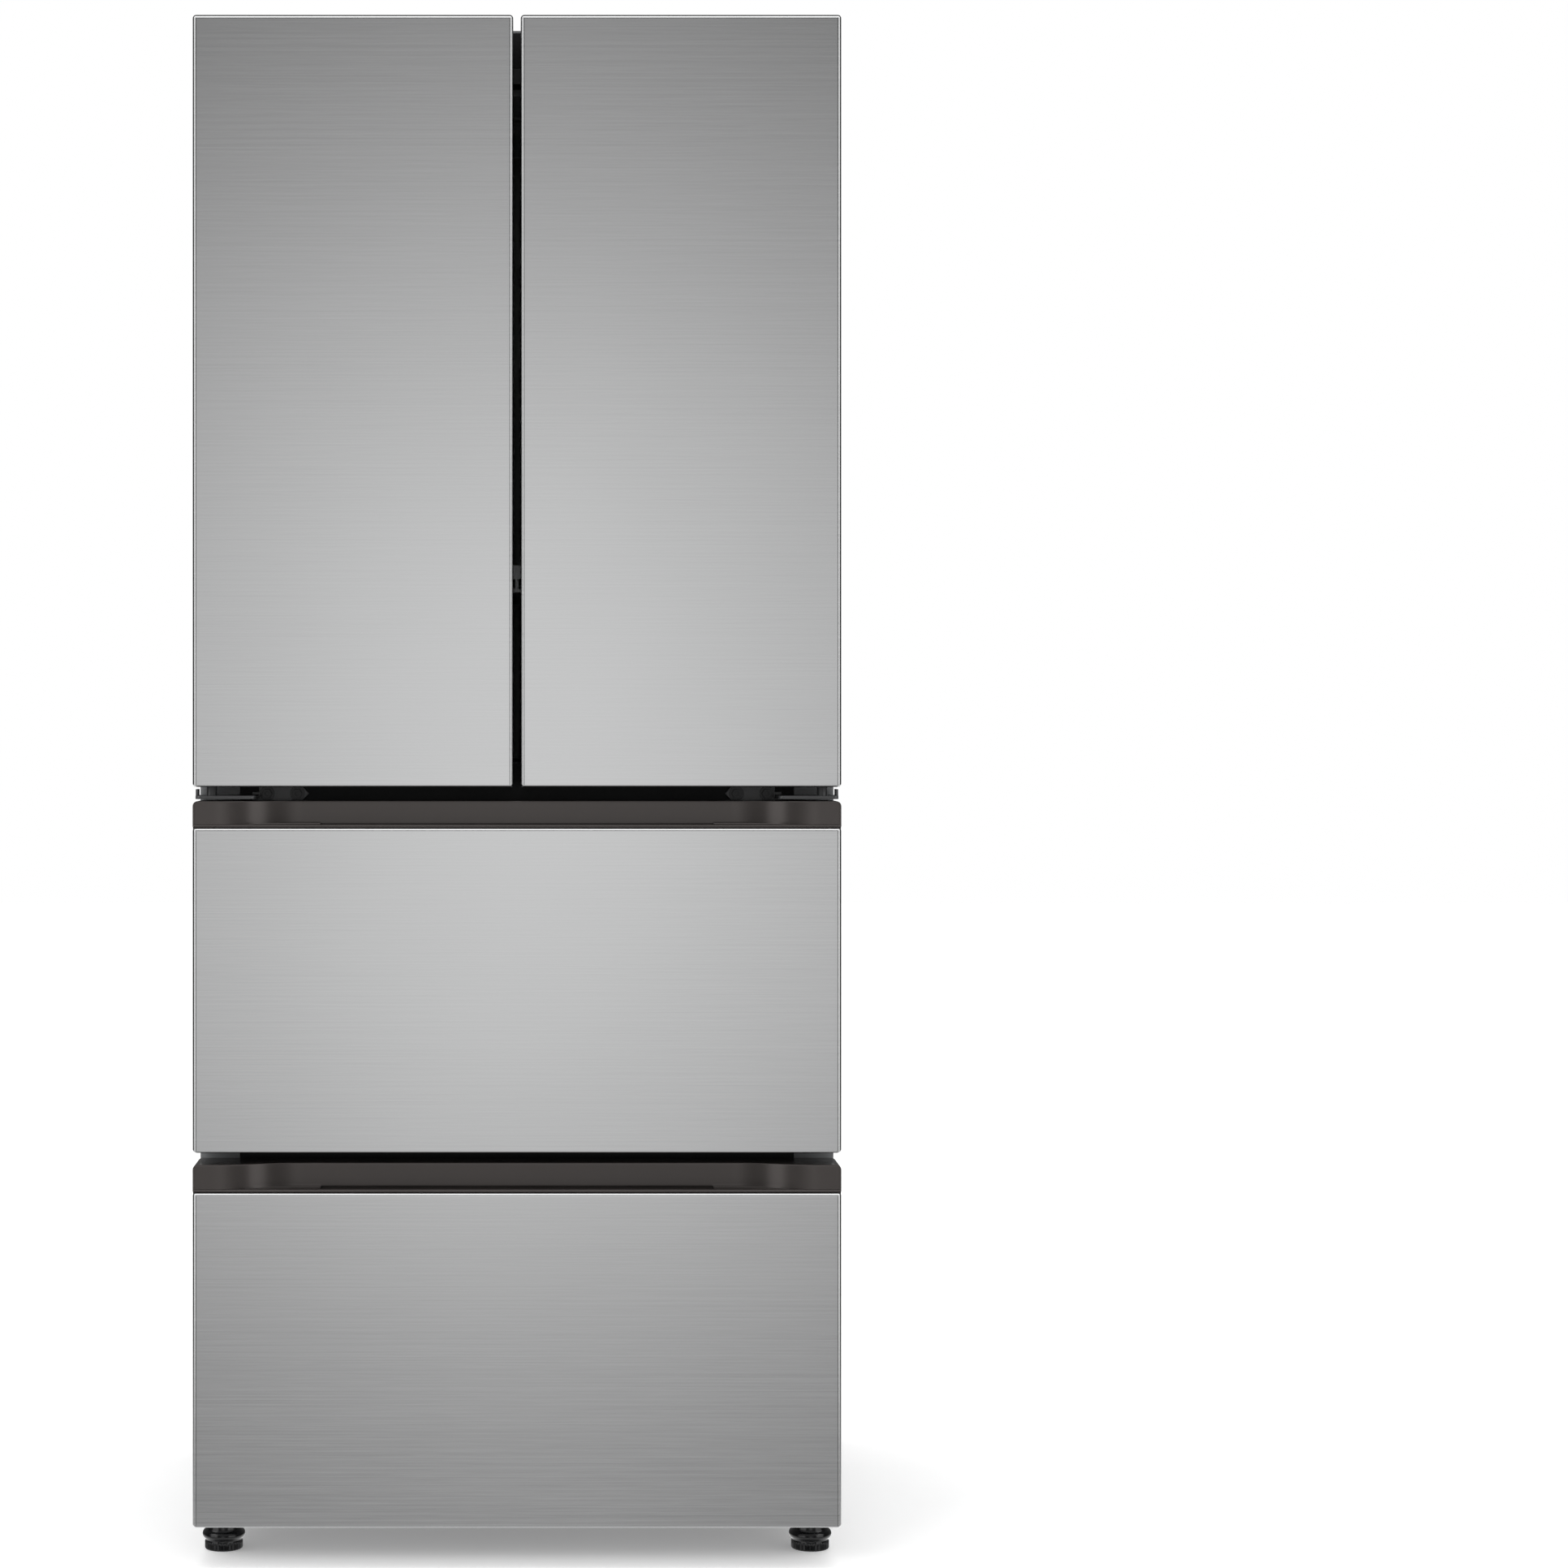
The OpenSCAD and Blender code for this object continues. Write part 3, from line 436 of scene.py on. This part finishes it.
def add_tab(verts, faces, cx, cy):
    """An arch-shaped marker on the front of a foot's ring: a thin round bead along a path."""
    path = [(-5.2, 9.2), (-5.2, 11.0), (-4.9, 12.4), (-4.0, 13.4), (-2.6, 13.8), (2.6, 13.8), (4.0, 13.4)]
    path += [(4.9, 12.4), (5.2, 11.0), (5.2, 9.2)]
    first = len(verts)
    for k, (along, z) in enumerate(path):
        ahead, behind = path[min(k + 1, len(path) - 1)], path[max(k - 1, 0)]
        heading = math.atan2(ahead[1] - behind[1], ahead[0] - behind[0])
        for j in range(TAB_SIDES):
            a = 2 * math.pi * j / TAB_SIDES
            out = TAB_REACH + TAB_BEAD * math.cos(a)
            turn = (along - TAB_BEAD * math.sin(a) * math.sin(heading)) / TAB_REACH
            height = z + TAB_BEAD * math.sin(a) * math.cos(heading)
            verts.append((cx + out * math.sin(turn) * MM, cy - out * math.cos(turn) * MM, height * MM))
    faces += [tuple(first + v for v in face) for face in bridge(TAB_SIDES, len(path))]
    faces.append(tuple(first + k for k in reversed(range(TAB_SIDES))))
    faces.append(tuple(first + (len(path) - 1) * TAB_SIDES + k for k in range(TAB_SIDES)))


def foot(side):
    """A levelling foot: a ribbed ring under a bulged collar, and the stem.

    It is a turned profile of (radius, height, how far the ribs show).
    """
    node = f"foot_{side}"
    low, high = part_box(node)
    cx, cy = (low.x + high.x) / 2, (low.y + high.y) / 2
    profile = [(0.2, 0.0, 0), (20.6, 0.0, 0), (22.0, 0.5, 0.2), (22.6, 1.4, 1), (22.6, 2.0, 1)]
    profile += [(22.6, z, 1) for z in (3.5, 5, 6.5, 8)] + [(22.5, 9.2, 0.6), (22.1, 9.9, 0)]
    profile += [(21.7, 10.8, 0), (21.7, 12.0, 0)]
    profile += [
        (25.4 - 3.4 * (1 - math.cos(a)) ** 0.9, 18.0 + 4.9 * math.sin(a), 0)
        for a in [math.radians(-75 + 12.5 * k) for k in range(13)]
    ]
    profile += [(22.0, 23.4, 0), (21.4, 26, 0), (21.2, 29.5, 0), (20, 30.0, 0), (14, 30.0, 0)]
    profile += [(5, 30.0, 0), (5, 57, 0), (0.2, 57, 0)]
    segments = RIBS * RIB_STEPS
    verts = []
    for r, z, ribbed in profile:
        for k in range(segments):
            a = 2 * math.pi * k / segments
            groove = RIB_DEPTH * max(0, math.cos(RIBS * a)) ** 0.5 * ribbed
            radius = (r - groove) * MM
            verts.append((cx + radius * math.cos(a), cy + radius * math.sin(a), z * MM))
    faces = bridge(segments, len(profile))
    faces.append(tuple(reversed(range(segments))))
    faces.append(tuple((len(profile) - 1) * segments + k for k in range(segments)))
    add_tab(verts, faces, cx, cy)
    new_piece(node + "_ring", verts, faces, node, smooth=50)


# ---------- gaskets ----------

SEAL_CORNER = 8 * MM


def gasket(node, band):
    """A bellows seal `band` wide: base bead, two folds and the flat magnet face.

    The outline's points are shares of the width and of the depth, from the front back.
    """
    low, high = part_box(node)
    x, z, front, back = (low.x, high.x), (low.z, high.z), low.y, high.y
    depth = back - front
    outline = [
        (0.30, 0.0), (0.12, 0.10), (0.02, 0.30), (0.10, 0.45), (0.0, 0.60), (0.0, 0.92), (0.05, 1.0),
        (0.60, 1.0), (0.66, 0.92), (0.66, 0.66), (0.80, 0.55), (0.98, 0.30), (1.0, 0.12), (0.80, 0.0),
    ]
    verts = []
    for u, v in outline:
        d = u * band
        for px, pz in rounded_rect(inset(x, d), inset(z, d), SEAL_CORNER - d * 0.3):
            verts.append((px, front + v * depth, pz))
    count = len(verts) // len(outline)
    new_piece(node + "_seal", verts, bridge(count, len(outline), closed=True), node, smooth=60)


# ---------- carried-over CAD nodes ----------

USUAL_BEVEL = 0.5
BEVELS = {  # in mm, where it isn't the usual one
    "cabinet_shell": 0.4, "back_panel": 0, "insulation_foam": 0, "fridge_liner": 0.8, "drawer_liners": 0.8,
    "condenser": 0, "evaporator": 0, "flip_mullion": 1.0, "compressor": 0, "condenser_fan": 0.2,
    "evaporator_fan": 0.2, "fasteners": 0.4,
    "door_left_foam": 2.4, "door_right_foam": 2.4, "middle_foam": 2.4, "freezer_foam": 2.4,
}
WELD_GAP = 0.001 * MM
FLAT_ANGLE = 1
SHARP_ANGLE = 35


def polish(node, width):
    """Gives a CAD node its slot's material, and rounds its edges unless the width is 0."""
    piece = NODES[node]
    piece.data.materials.clear()
    piece.data.materials.append(MATERIALS[SLOT_OF[node]])
    if not width:
        return
    weld = piece.modifiers.new("weld", "WELD")
    weld.merge_threshold = WELD_GAP
    flat = piece.modifiers.new("flat", "DECIMATE")
    flat.decimate_type = "DISSOLVE"
    flat.angle_limit = math.radians(FLAT_ANGLE)
    bevel = piece.modifiers.new("bevel", "BEVEL")
    bevel.width = width
    bevel.segments = 2
    bevel.limit_method = "ANGLE"
    bevel.angle_limit = math.radians(SHARP_ANGLE)
    bevel.harden_normals = True


# ---------- studio ----------

FLOOR_HALF = 14


def make_floor():
    """A pale floor that glows a little, so that it meets the white background without a line."""
    mesh = bpy.data.meshes.new("floor")
    corners = [(x * FLOOR_HALF, y * FLOOR_HALF, 0) for x, y in ((-1, -1), (1, -1), (1, 1), (-1, 1))]
    mesh.from_pydata(corners, [], [(0, 1, 2, 3)])
    floor = bpy.data.objects.new("floor", mesh)
    bpy.context.scene.collection.objects.link(floor)
    paint = moulded(
        "floor_paint", (0.9, 0.9, 0.9), 0.8, grain=60, height=0.0001, spread=0.01,
        Emission_Color=(1, 1, 1, 1), Emission_Strength=0.22,
    )
    mesh.materials.append(paint)
    floor.visible_glossy = False


def area_light(name, place, target, size, power):
    """A square light of `size` metres that lights surfaces but isn't mirrored in them."""
    data = bpy.data.lights.new(name, "AREA")
    data.shape = "SQUARE"
    data.size = size
    data.energy = power
    light = bpy.data.objects.new(name, data)
    bpy.context.scene.collection.objects.link(light)
    light.location = place
    light.rotation_euler = (Vector(target) - Vector(place)).to_track_quat("-Z", "Y").to_euler()
    light.visible_glossy = False


RAMP_TOP = 4.0  # a colour ramp holds 0 to 1, so its levels are stored as shares of this


def make_world():
    """A white studio: the camera sees white, and matt surfaces are lit evenly from all round.

    Glossy ones mirror a soft band ahead, panels at the sides, a ceiling, the ground and a dim rear.
    """
    world = bpy.data.worlds.new("studio")
    bpy.context.scene.world = world
    world.use_nodes = True
    tree = world.node_tree
    tree.nodes.clear()
    output = tree.nodes.new("ShaderNodeOutputWorld")
    direction = tree.nodes.new("ShaderNodeTexCoord")
    split = tree.nodes.new("ShaderNodeSeparateXYZ")
    tree.links.new(direction.outputs["Generated"], split.inputs[0])

    def product(first, second):
        return combined(tree, first, second, "MULTIPLY")

    def mirrored(stops):
        """Stops from 0 or more to 1, and the same ones on the other side."""
        return [(-coordinate, value) for coordinate, value in reversed(stops) if coordinate] + stops

    def ramp(source, stops):
        """A smooth curve through (coordinate, value) stops of a direction's X, Y or Z."""
        place = mapped(tree, source, 0, 1, -1, 1)
        node = tree.nodes.new("ShaderNodeValToRGB")
        node.color_ramp.interpolation = "EASE"
        elements = node.color_ramp.elements
        for k, (coordinate, value) in enumerate([stops[0], stops[-1]] + stops[1:-1]):
            position = (coordinate + 1) / 2
            element = elements[k] if k < 2 else elements.new(position)
            element.position = position
            level = value / RAMP_TOP
            element.color = (level, level, level, 1)
        tree.links.new(place, node.inputs[0])
        return product(node.outputs["Color"], RAMP_TOP)

    across, along, up = split.outputs["X"], split.outputs["Y"], split.outputs["Z"]
    # The band ahead is bright near eye level and straight in front of the doors.
    band = ramp(up, [
        (-1, 0), (-0.34, 0.06), (-0.25, 0.27), (-0.2, 0.56), (-0.14, 0.79), (-0.06, 0.96), (0.0, 1.02),
        (0.06, 0.93), (0.12, 0.77), (0.19, 0.5), (0.26, 0.24), (0.34, 0.1), (1, 0.1),
    ])
    sides = ramp(across, mirrored([(0, 1.14), (0.05, 0.98), (0.1, 0.84), (0.2, 0.4), (0.3, 0.2), (1, 0.2)]))
    nearness = ramp(along, [(-1, 1), (-0.9, 1), (-0.75, 0), (1, 0)])
    # The panels and the ceiling are on the doors' side only. The rolled edges of the steel mirror the panels.
    panels = ramp(across, mirrored([
        (0.46, 0), (0.57, 1.45), (0.64, 1.45), (0.69, 1.2), (0.9, 1.2), (0.95, 0.1), (1, 0.08),
    ]))
    ceiling = ramp(up, [(-1, 0), (0.42, 0), (0.54, 1.8), (0.9, 1.6), (0.97, 0.1), (1, 0.1)])
    ahead = ramp(along, [(-1, 1), (-0.3, 1), (-0.1, 0), (1, 0)])
    # The rear is brighter below eye level.
    below = ramp(up, [(-1, 1), (-0.3, 1), (-0.12, 0.2), (1, 0.2)])
    rear = ramp(along, [(-1, 0), (-0.2, 0), (0, 0.25), (0.3, 0.4), (0.6, 0.6), (1, 0.7)])
    above = ramp(up, [(-1, 0), (-0.33, 0), (-0.15, 1), (0.4, 1), (0.6, 0), (1, 0)])
    ground = ramp(up, [
        (-1, 0.05), (-0.92, 0.05), (-0.8, 0.85), (-0.55, 0.85), (-0.4, 0.5), (-0.34, 0.5), (-0.25, 0), (1, 0),
    ])
    front = product(product(band, sides), nearness)
    boxes = combined(tree, product(panels, above), ceiling)
    glow = combined(tree, front, product(boxes, ahead))
    glow = combined(tree, combined(tree, glow, product(rear, below)), ground)
    seen, reflected, soft = [tree.nodes.new("ShaderNodeBackground") for _ in range(3)]
    seen.inputs["Color"].default_value = (1, 1, 1, 1)
    soft.inputs["Color"].default_value = (0.97, 0.97, 0.97, 1)
    tree.links.new(glow, reflected.inputs["Color"])
    path = tree.nodes.new("ShaderNodeLightPath")
    inner = tree.nodes.new("ShaderNodeMixShader")
    outer = tree.nodes.new("ShaderNodeMixShader")
    tree.links.new(path.outputs["Is Glossy Ray"], inner.inputs[0])
    tree.links.new(soft.outputs[0], inner.inputs[1])
    tree.links.new(reflected.outputs[0], inner.inputs[2])
    tree.links.new(path.outputs["Is Camera Ray"], outer.inputs[0])
    tree.links.new(inner.outputs[0], outer.inputs[1])
    tree.links.new(seen.outputs[0], outer.inputs[2])
    tree.links.new(outer.outputs[0], output.inputs[0])


CAMERA_DISTANCE = 3.75
CAMERA_HEIGHT = 0.976
FRAME_WIDTH = 1.8257  # metres across the picture, at the front of the doors
SENSOR_WIDTH = 36
SHIFT = (0.1703, -0.0342)  # the photo shows the refrigerator left of its middle


def make_camera():
    """Level and square to the doors, as the photo is taken."""
    data = bpy.data.cameras.new("camera")
    data.sensor_width = SENSOR_WIDTH
    data.lens = SENSOR_WIDTH * CAMERA_DISTANCE / FRAME_WIDTH
    data.shift_x, data.shift_y = SHIFT
    camera = bpy.data.objects.new("camera", data)
    bpy.context.scene.collection.objects.link(camera)
    camera.location = (0, cad_bounds[0][1] - CAMERA_DISTANCE, CAMERA_HEIGHT)
    camera.rotation_euler = (math.radians(90), 0, 0)
    bpy.context.scene.camera = camera


def make_studio():
    """The floor, the world round it and two soft lights."""
    make_floor()
    make_world()
    area_light("overhead", place=(0, 0.5, 4.2), target=(0, 0, 0), size=4, power=70)
    area_light("front_left", place=(-2.2, -4.0, 2.8), target=(0, 0, 1.0), size=1.6, power=45)
    bpy.context.scene.view_settings.view_transform = "Standard"


# ---------- assembly ----------

DOOR_SEAL = 16 * MM
DRAWER_SEAL = 14 * MM

make_camera()
make_studio()
for side in DOORS:
    steel_front(f"door_{side}_skin", is_door=True)
for drawer in DRAWERS:
    steel_front(f"{drawer}_skin", is_door=False)
for drawer in DRAWERS:
    handle_band(drawer)
    gasket(f"{drawer}_gasket", DRAWER_SEAL)
for side in DOORS:
    foot(side)
    gasket(f"door_{side}_gasket", DOOR_SEAL)

replaced = {n for n in NODES if not NODES[n].visible_get() or NODES[n].hide_render}
for node in NODES:
    if node not in replaced:
        polish(node, BEVELS.get(node, USUAL_BEVEL) * MM)
